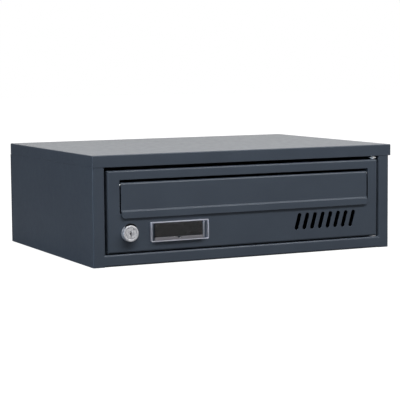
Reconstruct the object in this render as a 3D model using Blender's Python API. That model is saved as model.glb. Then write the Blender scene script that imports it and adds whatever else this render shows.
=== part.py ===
"""Wall mounted letterbox: folded steel casing, side-hung door, letter flap, cam lock and name-plate holder.

Metres, +Z up, +X to the right seen from the front, -Y towards the front.
The origin is the centre of the back panel's rear face, where the box meets its wall.
"""
import math

import bmesh
import bpy
from mathutils import Matrix, Vector

# ---------------------------------------------------------------- casing
WIDTH = 0.370                  # over the side panels
HEIGHT = 0.120                 # underside to the top of the cover
DEPTH = 0.270                  # front of the stiles to the wall
SHEET = 0.0010                 # thickness of every folded sheet
GAP = 0.0003                   # between pieces that touch on the real box
BEND = 0.0023                  # outer radius of a casing or door fold
STILE_WIDTH = 0.014            # front flange of a side panel
STILE_RETURN = 0.012           # how far a stile turns back into the box
RAIL_HEIGHT = 0.0131           # front flange of the bottom panel
RAIL_RETURN = 0.014
REAR_FLANGE = 0.014            # inward flanges that the back panel is welded to
COVER_FLANGE = 0.013           # turned-down edge of the cover
COVER_BEND = 0.0013
COVER_PROUD = 0.0003           # cover's front flange ahead of the stiles
COVER_SETBACK = 0.0002         # cover's rear flange ahead of the wall
CROSS_RAIL_LEG = 0.020         # depth of the two channels under the cover
WALL_HOLE_RADIUS = 0.00275     # clears a 5 mm wall screw
WALL_HOLE_INSET_X = 0.045
WALL_HOLE_INSET_Z = 0.026

# ---------------------------------------------------------------- cover fixings
STUD_RADIUS = 0.0020
STUD_TIP_GAP = 0.0004          # stud's tip above its cross rail's lower leg
STUD_HOLE_CLEARANCE = 0.0005
STUD_INSET_X = 0.050
STUD_INSET_Y = 0.010           # from the free edge of its cross rail
NUT_ACROSS_FLATS = 0.0070
NUT_HEIGHT = 0.0032
NUT_FLANGE_RADIUS = 0.0048
NUT_FLANGE_HEIGHT = 0.0010

# ---------------------------------------------------------------- door and its hinge
DOOR_GAP_LEFT = 0.0026
DOOR_GAP_RIGHT = 0.0018
DOOR_GAP_BOTTOM = 0.0012
DOOR_GAP_TOP = 0.0040
DOOR_RETURN = 0.011            # depth of the door's folded edges
PIVOT_FROM_EDGE = 0.0037       # hinge axis from the door's right edge
PIVOT_BEHIND_FACE = 0.0045
PIN_RADIUS = 0.0015
PIN_CLEARANCE = 0.0002         # radial, in the door's holes and in the casing's
PIN_REACH = 0.0045             # how far a pin runs into the door, past its folded edge
PIN_HEAD_RADIUS = 0.0026
PIN_HEAD_HEIGHT = 0.0012
COLLAR_RADIUS = 0.0040

# ---------------------------------------------------------------- letter slot and flap
SLOT_FROM_LEFT = 0.0144        # margins of the slot inside the door
SLOT_FROM_RIGHT = 0.0128
SLOT_FROM_TOP = 0.0100
LOWER_BAND = 0.0427            # door height below the slot, for lock, name plate and vents
FLAP_GAP_SIDE = 0.0016
FLAP_GAP_TOP = 0.0032
FLAP_ROD_RADIUS = 0.00125
FLAP_ROD_CLEARANCE = 0.00025   # radial, rod to rolled edge and rod to ears
LIP_OVERLAP = 0.0055           # lip below the slot's lower edge
LIP_FOLD = 0.0018              # joggle above the slot's lower edge
LIP_STANDOFF = 0.0007          # lip's inner face ahead of the door face
LIP_FLARE = 0.0003             # lip's bottom edge leans out by this
LIP_BEND = 0.0009              # middle radius of the joggle's folds
LIP_CORNER = 0.0040
EAR_DEPTH = 0.0075             # ears turned back from the slot's ends
EAR_HEIGHT = 0.0100
ROD_CAP_RADIUS = 0.0030
ROD_CAP_LENGTH = 0.0016
ROD_OVERRUN = 0.0030           # rod past each ear

# ---------------------------------------------------------------- lock
LOCK_FROM_LEFT = 0.0244        # axis from the door's left edge
LOCK_FROM_BOTTOM = 0.0212      # axis above the door's lower edge
BARREL_RADIUS = 0.0089
BARREL_PROUD = 0.0068          # barrel's front ahead of the door face
BODY_RADIUS = 0.0080
BODY_FLATS = 0.0140            # across the two flats
BODY_LENGTH = 0.0177           # body behind the door face
BODY_CLEARANCE = 0.0003        # radial, in the door's hole and in the nut
PLUG_RADIUS = 0.0058
PLUG_CLEARANCE = 0.0002
PLUG_RECESS = 0.0003
FACE_RING = 0.0010             # barrel metal ahead of the groove
GROOVE_WIDTH = 0.0016
GROOVE_DEPTH = 0.0012
DRIP_RING_CLEARANCE = 0.0003
DRIP_LIP = 0.0021              # lip of the drip ring above the barrel
DRIP_LIP_HALF_ANGLE = math.radians(37)
KEYWAY_WIDTH = 0.0011
KEYWAY_HEIGHT = 0.0064
KEYWAY_DEPTH = 0.0090
LOCK_NUT_ACROSS_FLATS = 0.0210
LOCK_NUT_THICKNESS = 0.0035
CAM_LENGTH = 0.0315            # axis to tip
CAM_WIDTH = 0.0130
CAM_THICKNESS = 0.0020
TANG = 0.0070                  # square end of the plug
TANG_CLEARANCE = 0.0003
CAM_SCREW_RADIUS = 0.0020
CAM_SCREW_LENGTH = 0.0080      # inside the plug
CAM_SCREW_HEAD_RADIUS = 0.0042
CAM_SCREW_HEAD_HEIGHT = 0.0024
CROSS_LENGTH = 0.0044          # cross recess in the screw's head
CROSS_WIDTH = 0.0010
CAM_WASHER_RADIUS = 0.0065
CAM_WASHER_THICKNESS = 0.0010

# ---------------------------------------------------------------- name plate
NAME_FROM_LEFT = 0.0492        # holder's left edge from the door's left edge
NAME_FROM_BOTTOM = 0.0101
NAME_WIDTH = 0.0688
NAME_HEIGHT = 0.0216
NAME_PROUD = 0.0040
NAME_WALL = 0.0013
NAME_PANE = 0.0010
NAME_PANE_RECESS = 0.0007      # pane behind the holder's front rim
NAME_POCKET_LEFT = 0.0050      # width of the end pockets beside the card
NAME_POCKET_RIGHT = 0.0070
NAME_LEDGE = 0.0048            # depth of the ledge under the card
NAME_NOTCH_RADIUS = 0.0024     # finger notch in the ledge
CARD_THICKNESS = 0.0005
PEG_RADIUS = 0.0012
PEG_LENGTH = 0.0035            # behind the door face
PEG_CLEARANCE = 0.0003
CLIP_RADIUS = 0.0032
CLIP_THICKNESS = 0.0006

# ---------------------------------------------------------------- vents
VENT_COUNT = 8
VENT_PITCH = 0.01013
VENT_LENGTH = 0.0194
VENT_WIDTH = 0.0050
VENT_LEAN = math.radians(15.8)
VENTS_FROM_RIGHT = 0.0343      # last vent's centre from the door's right edge
VENTS_FROM_BOTTOM = 0.0221     # centres above the door's lower edge

# ---------------------------------------------------------------- fineness
BEND_STEPS = 4                 # flats in a right-angle fold
ROUND_SIDES = 32

# ---------------------------------------------------------------- places worked out from the sizes
LEFT = -WIDTH / 2
RIGHT = WIDTH / 2
BOTTOM = -HEIGHT / 2
TOP = HEIGHT / 2
FRONT = -DEPTH
COVER_EDGE = TOP - COVER_FLANGE            # lower edge of the cover's flanges, top of the door opening
STILE_TOP = COVER_EDGE - GAP
SIDE_TOP = TOP - SHEET - GAP
RAIL_TOP = BOTTOM + RAIL_HEIGHT
BACK_INNER = -SHEET
REAR_FLANGE_FACE = BACK_INNER - GAP        # rear face of the inward flanges
TUCK = SHEET + GAP                         # left side's step inwards, under the cover's flush flange

DOOR_LEFT = LEFT + STILE_WIDTH + DOOR_GAP_LEFT
DOOR_RIGHT = RIGHT - STILE_WIDTH - DOOR_GAP_RIGHT
DOOR_BOTTOM = RAIL_TOP + DOOR_GAP_BOTTOM
DOOR_TOP = COVER_EDGE - DOOR_GAP_TOP
HINGE = Vector((DOOR_RIGHT - PIVOT_FROM_EDGE, FRONT + PIVOT_BEHIND_FACE, 0.0))

SLOT_LEFT = DOOR_LEFT + SLOT_FROM_LEFT
SLOT_RIGHT = DOOR_RIGHT - SLOT_FROM_RIGHT
SLOT_TOP = DOOR_TOP - SLOT_FROM_TOP
SLOT_BOTTOM = DOOR_BOTTOM + LOWER_BAND
FLAP_LEFT = SLOT_LEFT + FLAP_GAP_SIDE
FLAP_RIGHT = SLOT_RIGHT - FLAP_GAP_SIDE
FLAP_TOP = SLOT_TOP - FLAP_GAP_TOP
CURL = FLAP_ROD_RADIUS + FLAP_ROD_CLEARANCE + SHEET / 2      # middle radius of the rolled edge
CURL_OUTER = CURL + SHEET / 2
FLAP_AXIS = Vector((0.0, FRONT + CURL_OUTER, FLAP_TOP - CURL_OUTER))

LOCK = Vector((DOOR_LEFT + LOCK_FROM_LEFT, FRONT, DOOR_BOTTOM + LOCK_FROM_BOTTOM))
BARREL_FRONT = FRONT - BARREL_PROUD
BODY_REAR = FRONT + BODY_LENGTH
TANG_START = BODY_REAR + GAP
CAM_FRONT = TANG_START + GAP
CAM_REAR = CAM_FRONT + CAM_THICKNESS
TANG_END = CAM_REAR + GAP
WASHER_FRONT = TANG_END + GAP
SCREW_HEAD_FRONT = WASHER_FRONT + CAM_WASHER_THICKNESS + GAP

NAME_LEFT = DOOR_LEFT + NAME_FROM_LEFT
NAME_RIGHT = NAME_LEFT + NAME_WIDTH
NAME_BOTTOM = DOOR_BOTTOM + NAME_FROM_BOTTOM
NAME_TOP = NAME_BOTTOM + NAME_HEIGHT
PEGS_X = (NAME_LEFT + (NAME_POCKET_LEFT - GAP) / 2, NAME_RIGHT - (NAME_POCKET_RIGHT - GAP) / 2)
PEGS_Z = (NAME_BOTTOM + NAME_TOP) / 2

AXIS_TURNS = {
    "X": Matrix.Rotation(math.pi / 2, 4, "Y"),
    "Y": Matrix.Rotation(-math.pi / 2, 4, "X"),
    "Z": Matrix.Identity(4),
}


# ---------------------------------------------------------------- modelling helpers
def material(name, color, roughness, metallic=0.0, transmission=0.0):
    """A Principled material of one colour."""
    made = bpy.data.materials.new(name)
    made.use_nodes = True
    made.diffuse_color = (*color, 1.0)
    shader = made.node_tree.nodes["Principled BSDF"]
    shader.inputs["Base Color"].default_value = (*color, 1.0)
    shader.inputs["Roughness"].default_value = roughness
    shader.inputs["Metallic"].default_value = metallic
    shader.inputs["Transmission Weight"].default_value = transmission
    return made


def world_place(obj):
    """Where an unturned object stands, through its parents."""
    place = obj.location.copy()
    while obj.parent:
        obj = obj.parent
        place += obj.location
    return place


def pivot(name, place, parent=None):
    """An empty on a joint's axis."""
    empty = bpy.data.objects.new(name, None)
    empty.empty_display_size = 0.02
    bpy.context.scene.collection.objects.link(empty)
    empty.parent = parent
    empty.location = place - (world_place(parent) if parent else Vector())
    return empty


def piece(name, bm, finish, parent=None, origin=None):
    """Turns a bmesh in world coordinates into an object whose origin is at its parent, or at origin."""
    if origin is None:
        origin = world_place(parent) if parent else Vector()
    bmesh.ops.translate(bm, vec=-origin, verts=bm.verts)
    bmesh.ops.recalc_face_normals(bm, faces=bm.faces)
    mesh = bpy.data.meshes.new(name)
    bm.to_mesh(mesh)
    bm.free()
    mesh.materials.append(finish)
    mesh.shade_smooth()
    mesh.set_sharp_from_angle(angle=math.radians(30))
    obj = bpy.data.objects.new(name, mesh)
    bpy.context.scene.collection.objects.link(obj)
    obj.parent = parent
    obj.location = origin - (world_place(parent) if parent else Vector())
    return obj


def combine(target, bm, operation, label):
    """Cuts, joins or trims a piece with a second shape, given in world coordinates."""
    helper = piece(f"{target.name}_{label}", bm, target.data.materials[0], target)
    helper.hide_render = True
    helper.display_type = "WIRE"
    modifier = target.modifiers.new(label, "BOOLEAN")
    modifier.operation = operation
    modifier.solver = "EXACT"
    modifier.object = helper


def cut(target, bm, label="cut"):
    combine(target, bm, "DIFFERENCE", label)


def join(target, bm, label="joined"):
    combine(target, bm, "UNION", label)


def trim(target, bm, label="trim"):
    combine(target, bm, "INTERSECT", label)


def block(bm, low, high):
    """A box between two corners."""
    low = Vector(low)
    high = Vector(high)
    size = Matrix.Diagonal((*(high - low), 1))
    bmesh.ops.create_cube(bm, size=1, matrix=Matrix.Translation((low + high) / 2) @ size)


def rod(bm, axis, centre, radius, start, end, sides=ROUND_SIDES):
    """A cylinder along X, Y or Z, through centre, from start to end on that axis."""
    index = "XYZ".index(axis)
    middle = Vector(centre)
    middle[index] = (start + end) / 2
    matrix = Matrix.Translation(middle) @ AXIS_TURNS[axis]
    bmesh.ops.create_cone(bm, cap_ends=True, segments=sides, radius1=radius, radius2=radius,
                          depth=abs(end - start), matrix=matrix)


def extrude(bm, outline, axis, start, end):
    """A prism along one axis; the outline's two coordinates are the other two, in X, Y, Z order."""
    index = "XYZ".index(axis)
    verts = []
    for point in outline:
        place = list(point)
        place.insert(index, start)
        if not verts or (Vector(place) - verts[-1].co).length > 1e-6:
            verts.append(bm.verts.new(place))
    face = bm.faces.new(verts)
    grown = bmesh.ops.extrude_face_region(bm, geom=[face])["geom"]
    travel = Vector()
    travel[index] = end - start
    far_verts = [item for item in grown if isinstance(item, bmesh.types.BMVert)]
    bmesh.ops.translate(bm, vec=travel, verts=far_verts)


def turn(bm, profile, axis, centre, sides=ROUND_SIDES):
    """A closed profile of (radius, place along the axis) points, turned about the axis through centre."""
    made = [bm.verts.new((radius, 0.0, along)) for radius, along in profile]
    edges = [bm.edges.new(pair) for pair in zip(made, made[1:] + made[:1])]
    bmesh.ops.spin(bm, geom=made + edges, axis=(0, 0, 1), cent=(0, 0, 0), angle=2 * math.pi,
                   steps=sides, use_merge=True)
    bmesh.ops.remove_doubles(bm, verts=bm.verts, dist=1e-7)
    on_axis = [edge for edge in bm.edges if not edge.link_faces]
    bmesh.ops.delete(bm, geom=on_axis, context="EDGES")
    index = "XYZ".index(axis)
    place = Vector(centre)
    place[index] = 0.0
    bmesh.ops.transform(bm, matrix=Matrix.Translation(place) @ AXIS_TURNS[axis], verts=bm.verts)


def arc(centre, radius, start, end, steps):
    """Points on an arc, from one angle to another."""
    angles = [start + (end - start) * step / steps for step in range(steps + 1)]
    x, y = centre
    return [(x + radius * math.cos(angle), y + radius * math.sin(angle)) for angle in angles]


def obround(centre, length, width, lean, steps=8):
    """A slot's outline: length over its round ends, leaning to the right by lean from upright."""
    along = Vector((math.sin(lean), math.cos(lean))) * (length - width) / 2
    upper = Vector(centre) + along
    lower = Vector(centre) - along
    first = -lean
    return arc(upper, width / 2, first, first + math.pi, steps) + arc(
        lower, width / 2, first + math.pi, first + 2 * math.pi, steps)


def plate_outline(low, high, radii, steps=5):
    """A rectangle with a radius at each corner: lower left, lower right, upper right, upper left."""
    corners = ((low[0], low[1]), (high[0], low[1]), (high[0], high[1]), (low[0], high[1]))
    inward = ((1, 1), (-1, 1), (-1, -1), (1, -1))
    points = []
    for number, (corner, side, radius) in enumerate(zip(corners, inward, radii)):
        centre = (corner[0] + side[0] * radius, corner[1] + side[1] * radius)
        start = math.pi + number * math.pi / 2
        points += arc(centre, radius, start, start + math.pi / 2, steps) if radius else [corner]
    return points


def hexagon(centre, across_flats):
    return arc(centre, across_flats / math.sqrt(3), 0, math.pi * 5 / 3, 5)


def folded(corners, bends, steps=BEND_STEPS):
    """The outline of a folded sheet. Corners are on the sheet's middle line; bends are middle radii."""
    points = [Vector(corner) for corner in corners]
    if not isinstance(bends, (list, tuple)):
        bends = [bends] * (len(points) - 2)
    heading = (points[1] - points[0]).normalized()
    middle = [(points[0], heading.orthogonal())]
    for before, corner, after, bend in zip(points, points[1:], points[2:], bends):
        back = (before - corner).normalized()
        ahead = (after - corner).normalized()
        half = back.angle(ahead) / 2
        centre = corner + (back + ahead).normalized() * bend / math.sin(half)
        first = corner + back * bend / math.tan(half) - centre
        last = corner + ahead * bend / math.tan(half) - centre
        left_turn = back.cross(ahead) < 0
        for step in range(steps + 1):
            spoke = first.slerp(last, step / steps).normalized()
            middle.append((centre + spoke * bend, -spoke if left_turn else spoke))
    heading = (points[-1] - points[-2]).normalized()
    middle.append((points[-1], heading.orthogonal()))
    near = [place + side * SHEET / 2 for place, side in middle]
    far = [place - side * SHEET / 2 for place, side in reversed(middle)]
    return near + far


def folded_box(bm, low, high, open_side, radius):
    """A box with its closed face's four edges rounded, as a pan folded from sheet; open_side is +Y or -Z."""
    block(bm, low, high)
    index = "XYZ".index(open_side[1])
    closed = high[index] if open_side[0] == "-" else low[index]
    edges = [edge for edge in bm.edges if all(abs(vert.co[index] - closed) < 1e-6 for vert in edge.verts)]
    bmesh.ops.bevel(bm, geom=edges, offset=radius, offset_type="OFFSET", segments=BEND_STEPS, profile=0.5,
                    affect="EDGES", material=-1)


# ---------------------------------------------------------------- casing
def side_panel(name, side, tuck, finish):
    """Side, stile, return and rear flange in one folded sheet; tuck is its step inwards, under the cover."""
    edge = side * WIDTH / 2
    inward = -side
    half = SHEET / 2
    bend = BEND - half
    wall = edge + inward * half
    back_line = REAR_FLANGE_FACE - half
    corners = [
        (edge + inward * (STILE_WIDTH - half), FRONT + STILE_RETURN),
        (edge + inward * (STILE_WIDTH - half), FRONT + half),
        (wall, FRONT + half),
        (wall, back_line),
        (edge + inward * REAR_FLANGE, back_line),
    ]
    bm = bmesh.new()
    extrude(bm, folded(corners, bend), "Z", BOTTOM, SIDE_TOP)
    panel = piece(name, bm, finish)

    # Above the stile's top only the flat side goes on up, inside the cover.
    inner = edge + inward * SHEET
    outer = edge - inward * SHEET
    far = edge + inward * (STILE_WIDTH + REAR_FLANGE)
    bend_end = FRONT + BEND + GAP
    stile_end = FRONT + 2 * STILE_RETURN
    front_notch = bmesh.new()
    extrude(front_notch, [(outer, FRONT - BEND), (far, FRONT - BEND), (far, stile_end), (inner, stile_end),
                          (inner, bend_end), (outer, bend_end)], "Z", STILE_TOP, TOP)
    cut(panel, front_notch, "front_notch")
    rear_notch = bmesh.new()
    low, high = sorted((outer, far))
    tongue_end = -BEND - 2 * SHEET
    block(rear_notch, (low, tongue_end, STILE_TOP), (high, BEND, TOP))
    cut(panel, rear_notch, "rear_notch")
    if tuck:
        straight = bmesh.new()
        low, high = sorted((outer, inner + inward * GAP))
        block(straight, (low, FRONT - SHEET, STILE_TOP), (high, BEND, TOP))
        cut(panel, straight, "straight_tongue")
        stepped = bmesh.new()
        ledge = STILE_TOP - GAP
        extrude(stepped, [(wall, ledge - SHEET), (inner + inward * tuck, ledge - SHEET),
                          (inner + inward * tuck, SIDE_TOP), (edge + inward * tuck, SIDE_TOP),
                          (edge + inward * tuck, ledge), (wall, ledge)], "Y", bend_end, tongue_end)
        join(panel, stepped, "stepped_tongue")
    return panel


def bottom_panel(finish):
    """Floor, front rail with its return, and rear flange."""
    half = SHEET / 2
    bend = BEND - half
    back_line = REAR_FLANGE_FACE - SHEET - GAP - half
    corners = [
        (FRONT + RAIL_RETURN, RAIL_TOP - half),
        (FRONT + half, RAIL_TOP - half),
        (FRONT + half, BOTTOM + half),
        (back_line, BOTTOM + half),
        (back_line, BOTTOM + REAR_FLANGE),
    ]
    reach = WIDTH / 2 - SHEET - GAP
    between = WIDTH / 2 - STILE_WIDTH - GAP
    bm = bmesh.new()
    extrude(bm, folded(corners, bend), "X", -reach, reach)
    panel = piece("bottom_panel", bm, finish)
    notches = bmesh.new()
    for side in (-1, 1):
        low, high = sorted((side * between, side * (reach + SHEET)))
        block(notches, (low, FRONT - SHEET, BOTTOM - SHEET),
              (high, FRONT + max(STILE_RETURN, RAIL_RETURN) + GAP, RAIL_TOP + SHEET))
        low, high = sorted((side * (WIDTH / 2 - BEND - GAP), side * (reach + SHEET)))
        block(notches, (low, REAR_FLANGE_FACE - BEND - GAP, BOTTOM - SHEET),
              (high, 0.0, BOTTOM + 2 * REAR_FLANGE))
    cut(panel, notches, "corner_notches")
    return panel


def wall_hole_places():
    """The four wall-screw holes in the back panel."""
    return [(x * (WIDTH / 2 - WALL_HOLE_INSET_X), z * (HEIGHT / 2 - WALL_HOLE_INSET_Z))
            for x in (-1, 1) for z in (-1, 1)]


def back_panel(finish):
    bm = bmesh.new()
    block(bm, (LEFT, BACK_INNER, BOTTOM), (RIGHT, 0.0, STILE_TOP))
    panel = piece("back_panel", bm, finish)
    holes = bmesh.new()
    for x, z in wall_hole_places():
        rod(holes, "Y", (x, 0, z), WALL_HOLE_RADIUS, BACK_INNER - SHEET, SHEET, 24)
    cut(panel, holes, "screw_holes")
    return panel


def cover_span():
    """Outer corners of the cover, flush with the left side and proud of the right one."""
    return Vector((LEFT, FRONT - COVER_PROUD, COVER_EDGE)), Vector((RIGHT + 2 * TUCK, -COVER_SETBACK, TOP))


def top_cover(finish):
    """A tray with four turned-down flanges."""
    low, high = cover_span()
    bm = bmesh.new()
    folded_box(bm, low, high, "-Z", COVER_BEND)
    cover = piece("top_cover", bm, finish)
    wall = Vector((SHEET, SHEET, SHEET))
    inside = bmesh.new()
    folded_box(inside, low + wall - Vector((0, 0, 2 * SHEET)), high - wall, "-Z", COVER_BEND - SHEET)
    cut(cover, inside, "inside")
    return cover


def cross_rail(name, tip, inward, finish):
    """A channel across the top; its legs' free edges are at tip, just inside the cover's flange."""
    half = SHEET / 2
    web = tip + inward * (CROSS_RAIL_LEG - half)
    low = COVER_EDGE + half
    high = SIDE_TOP - half
    left = LEFT + TUCK + SHEET + GAP
    right = RIGHT - SHEET - GAP
    bm = bmesh.new()
    extrude(bm, folded([(tip, low), (web, low), (web, high), (tip, high)], BEND - half), "X", left, right)
    return piece(name, bm, finish)


def stud_places():
    """Centres of the four cover studs."""
    low, high = cover_span()
    front = low.y + SHEET + GAP + STUD_INSET_Y
    rear = high.y - SHEET - GAP - STUD_INSET_Y
    return [(x * (WIDTH / 2 - STUD_INSET_X), y) for x in (-1, 1) for y in (front, rear)]


def cover_fixings(front_rail, rear_rail, zinc):
    """Four weld studs under the cover, each through a cross rail's upper leg into a flange nut."""
    leg_under = SIDE_TOP - SHEET
    stud_top = TOP - SHEET - GAP
    stud_tip = COVER_EDGE + SHEET + STUD_TIP_GAP
    nut_top = leg_under - GAP
    for number, (x, y) in enumerate(stud_places(), 1):
        stud = bmesh.new()
        rod(stud, "Z", (x, y, 0), STUD_RADIUS, stud_tip, stud_top, 20)
        piece(f"cover_stud_{number}", stud, zinc, origin=Vector((x, y, stud_top)))

        hole = bmesh.new()
        rod(hole, "Z", (x, y, 0), STUD_RADIUS + STUD_HOLE_CLEARANCE, leg_under - SHEET, SIDE_TOP + SHEET, 20)
        cut(front_rail if y < FRONT / 2 else rear_rail, hole, f"stud_hole_{number}")

        nut = bmesh.new()
        extrude(nut, hexagon((x, y), NUT_ACROSS_FLATS), "Z", nut_top - NUT_HEIGHT,
                nut_top - NUT_FLANGE_HEIGHT / 2)
        nut_piece = piece(f"cover_nut_{number}", nut, zinc, origin=Vector((x, y, nut_top)))
        flange = bmesh.new()
        rod(flange, "Z", (x, y, 0), NUT_FLANGE_RADIUS, nut_top - NUT_FLANGE_HEIGHT, nut_top, 24)
        join(nut_piece, flange, "flange")
        bore = bmesh.new()
        rod(bore, "Z", (x, y, 0), STUD_RADIUS + GAP, nut_top - 2 * NUT_HEIGHT, nut_top + SHEET, 20)
        cut(nut_piece, bore, "bore")


def casing(steel, zinc):
    side_panel("left_side_panel", -1, TUCK, steel)
    side_panel("right_side_panel", 1, 0.0, steel)
    bottom = bottom_panel(steel)
    back_panel(steel)
    top_cover(steel)
    low, high = cover_span()
    front_rail = cross_rail("front_cross_rail", low.y + SHEET + GAP, 1, steel)
    rear_rail = cross_rail("rear_cross_rail", high.y - SHEET - GAP, -1, steel)

    cover_fixings(front_rail, rear_rail, zinc)
    return front_rail, bottom


def hinge_hardware(front_rail, bottom, zinc):
    """Two headed pins, fixed in the casing, and the collar each carries in the gap beside the door."""
    hole = PIN_RADIUS + PIN_CLEARANCE
    upper_leg_top = COVER_EDGE + SHEET
    lower_leg_under = RAIL_TOP - SHEET
    for name, seat, direction, door_edge in (
        ("upper", upper_leg_top, 1, DOOR_TOP),
        ("lower", lower_leg_under, -1, DOOR_BOTTOM),
    ):
        head_start = seat + direction * GAP
        tip = door_edge - direction * (SHEET + PIN_REACH)
        profile = [
            (0.0, head_start + direction * PIN_HEAD_HEIGHT),
            (PIN_HEAD_RADIUS * 0.8, head_start + direction * PIN_HEAD_HEIGHT),
            (PIN_HEAD_RADIUS, head_start + direction * PIN_HEAD_HEIGHT * 0.6),
            (PIN_HEAD_RADIUS, head_start),
            (PIN_RADIUS, head_start),
            (PIN_RADIUS, tip + direction * PIN_RADIUS / 3),
            (PIN_RADIUS * 0.7, tip),
            (0.0, tip),
        ]
        pin = bmesh.new()
        turn(pin, profile, "Z", HINGE)
        piece(f"{name}_hinge_pin", pin, zinc, origin=HINGE)

        leg_face = seat - direction * SHEET
        near = leg_face - direction * GAP
        far = door_edge + direction * GAP
        collar = bmesh.new()
        turn(collar, [(hole, near), (COLLAR_RADIUS, near), (COLLAR_RADIUS, far), (hole, far)], "Z", HINGE)
        piece(f"{name}_hinge_collar", collar, zinc, origin=HINGE)
    upper_hole = bmesh.new()
    rod(upper_hole, "Z", HINGE, hole, COVER_EDGE - SHEET, upper_leg_top + SHEET)
    cut(front_rail, upper_hole, "pin_hole")
    lower_hole = bmesh.new()
    rod(lower_hole, "Z", HINGE, hole, lower_leg_under - SHEET, RAIL_TOP + SHEET)
    cut(bottom, lower_hole, "pin_hole")


# ---------------------------------------------------------------- door
def door_panel(finish, parent):
    """A folded pan with the letter slot, the ears for the flap's rod, the vents and the fixing holes."""
    low = Vector((DOOR_LEFT, FRONT, DOOR_BOTTOM))
    high = Vector((DOOR_RIGHT, FRONT + DOOR_RETURN, DOOR_TOP))
    bm = bmesh.new()
    folded_box(bm, low, high, "+Y", BEND)
    panel = piece("door_panel", bm, finish, parent)
    wall = Vector((SHEET, SHEET, SHEET))
    inside = bmesh.new()
    folded_box(inside, low + wall, high - wall + Vector((0, 2 * SHEET, 0)), "+Y", BEND - SHEET)
    cut(panel, inside, "inside")

    front = FRONT - SHEET
    behind = FRONT + 2 * SHEET
    slot = bmesh.new()
    block(slot, (SLOT_LEFT, front, SLOT_BOTTOM), (SLOT_RIGHT, behind, SLOT_TOP))
    cut(panel, slot, "letter_slot")

    ears = bmesh.new()
    for inner, outer in ((SLOT_LEFT, SLOT_LEFT - SHEET), (SLOT_RIGHT, SLOT_RIGHT + SHEET)):
        near, far = sorted((inner, outer))
        block(ears, (near, FRONT + SHEET / 2, FLAP_AXIS.z - EAR_HEIGHT / 2),
              (far, FRONT + EAR_DEPTH, FLAP_AXIS.z + EAR_HEIGHT / 2))
    join(panel, ears, "ears")

    holes = bmesh.new()
    rod_hole = FLAP_ROD_RADIUS + FLAP_ROD_CLEARANCE
    for x in (SLOT_LEFT, SLOT_RIGHT):
        rod(holes, "X", (x, FLAP_AXIS.y, FLAP_AXIS.z), rod_hole, x - 4 * SHEET, x + 4 * SHEET, 16)
    for number in range(VENT_COUNT):
        centre = (DOOR_RIGHT - VENTS_FROM_RIGHT - number * VENT_PITCH, DOOR_BOTTOM + VENTS_FROM_BOTTOM)
        extrude(holes, obround(centre, VENT_LENGTH, VENT_WIDTH, VENT_LEAN), "Y", front, behind)
    for x in PEGS_X:
        rod(holes, "Y", (x, 0, PEGS_Z), PEG_RADIUS + PEG_CLEARANCE, front, behind, 16)
    pin_hole = PIN_RADIUS + PIN_CLEARANCE
    rod(holes, "Z", HINGE, pin_hole, DOOR_BOTTOM - SHEET, DOOR_BOTTOM + 2 * SHEET, 24)
    rod(holes, "Z", HINGE, pin_hole, DOOR_TOP - 2 * SHEET, DOOR_TOP + SHEET, 24)
    extrude(holes, flatted_circle(BODY_RADIUS + BODY_CLEARANCE, BODY_FLATS / 2 + BODY_CLEARANCE), "Y",
            front, behind)
    cut(panel, holes, "holes")
    return panel


def flatted_circle(radius, half_flats, steps=10):
    """A circle round the lock's axis with a flat above and below, as X and Z points."""
    reach = math.asin(half_flats / radius)
    centre = (LOCK.x, LOCK.z)
    return arc(centre, radius, -reach, reach, steps) + arc(
        centre, radius, math.pi - reach, math.pi + reach, steps)


def flap_rod(zinc, parent):
    start = SLOT_LEFT - SHEET - ROD_OVERRUN
    end = SLOT_RIGHT + SHEET + ROD_OVERRUN
    bm = bmesh.new()
    rod(bm, "X", FLAP_AXIS, FLAP_ROD_RADIUS, start, end, 16)
    piece("flap_rod", bm, zinc, parent, FLAP_AXIS)
    for name, ear, direction in (("left", SLOT_LEFT - SHEET, -1), ("right", SLOT_RIGHT + SHEET, 1)):
        near = ear + direction * GAP
        far = near + direction * ROD_CAP_LENGTH
        behind_door = FLAP_AXIS + Vector((0, ROD_CAP_RADIUS - CURL_OUTER + SHEET + GAP, 0))
        cap = bmesh.new()
        rod(cap, "X", behind_door, ROD_CAP_RADIUS, near, far, 20)
        cap_piece = piece(f"rod_cap_{name}", cap, zinc, parent, FLAP_AXIS + Vector((near, 0, 0)))
        bore = bmesh.new()
        rod(bore, "X", FLAP_AXIS, FLAP_ROD_RADIUS + GAP, near - direction * SHEET,
            far + direction * SHEET, 16)
        cut(cap_piece, bore, "bore")


def letter_flap(finish, parent):
    """Face, edge rolled round the rod above, and a lip joggled out over the door below."""
    half = SHEET / 2
    face = FRONT + half
    lip = FRONT - LIP_STANDOFF - half
    lip_bottom = SLOT_BOTTOM - LIP_OVERLAP
    fold = SLOT_BOTTOM + LIP_FOLD
    axis_y = FLAP_AXIS.y
    axis_z = FLAP_AXIS.z
    corners = [
        (lip - LIP_FLARE, lip_bottom),
        (lip, fold - LIP_BEND / 2),
        (face, fold + LIP_BEND / 2 + SHEET / 2),
        (axis_y - CURL, axis_z + CURL),
        (axis_y + CURL, axis_z + CURL),
        (axis_y + CURL, axis_z - CURL),
        (axis_y - SHEET / 4, axis_z - CURL),
    ]
    bm = bmesh.new()
    extrude(bm, folded(corners, [LIP_BEND, LIP_BEND, CURL, CURL, CURL]), "X", FLAP_LEFT, FLAP_RIGHT)
    flap = piece("letter_flap", bm, finish, parent)
    outline = plate_outline((FLAP_LEFT - SHEET, lip_bottom), (FLAP_RIGHT + SHEET, FLAP_TOP + SHEET),
                            (LIP_CORNER + SHEET, LIP_CORNER + SHEET, 0, 0))
    rounded = bmesh.new()
    extrude(rounded, outline, "Y", lip - 3 * SHEET, axis_y + 3 * CURL)
    trim(flap, rounded, "lip_corners")


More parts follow.
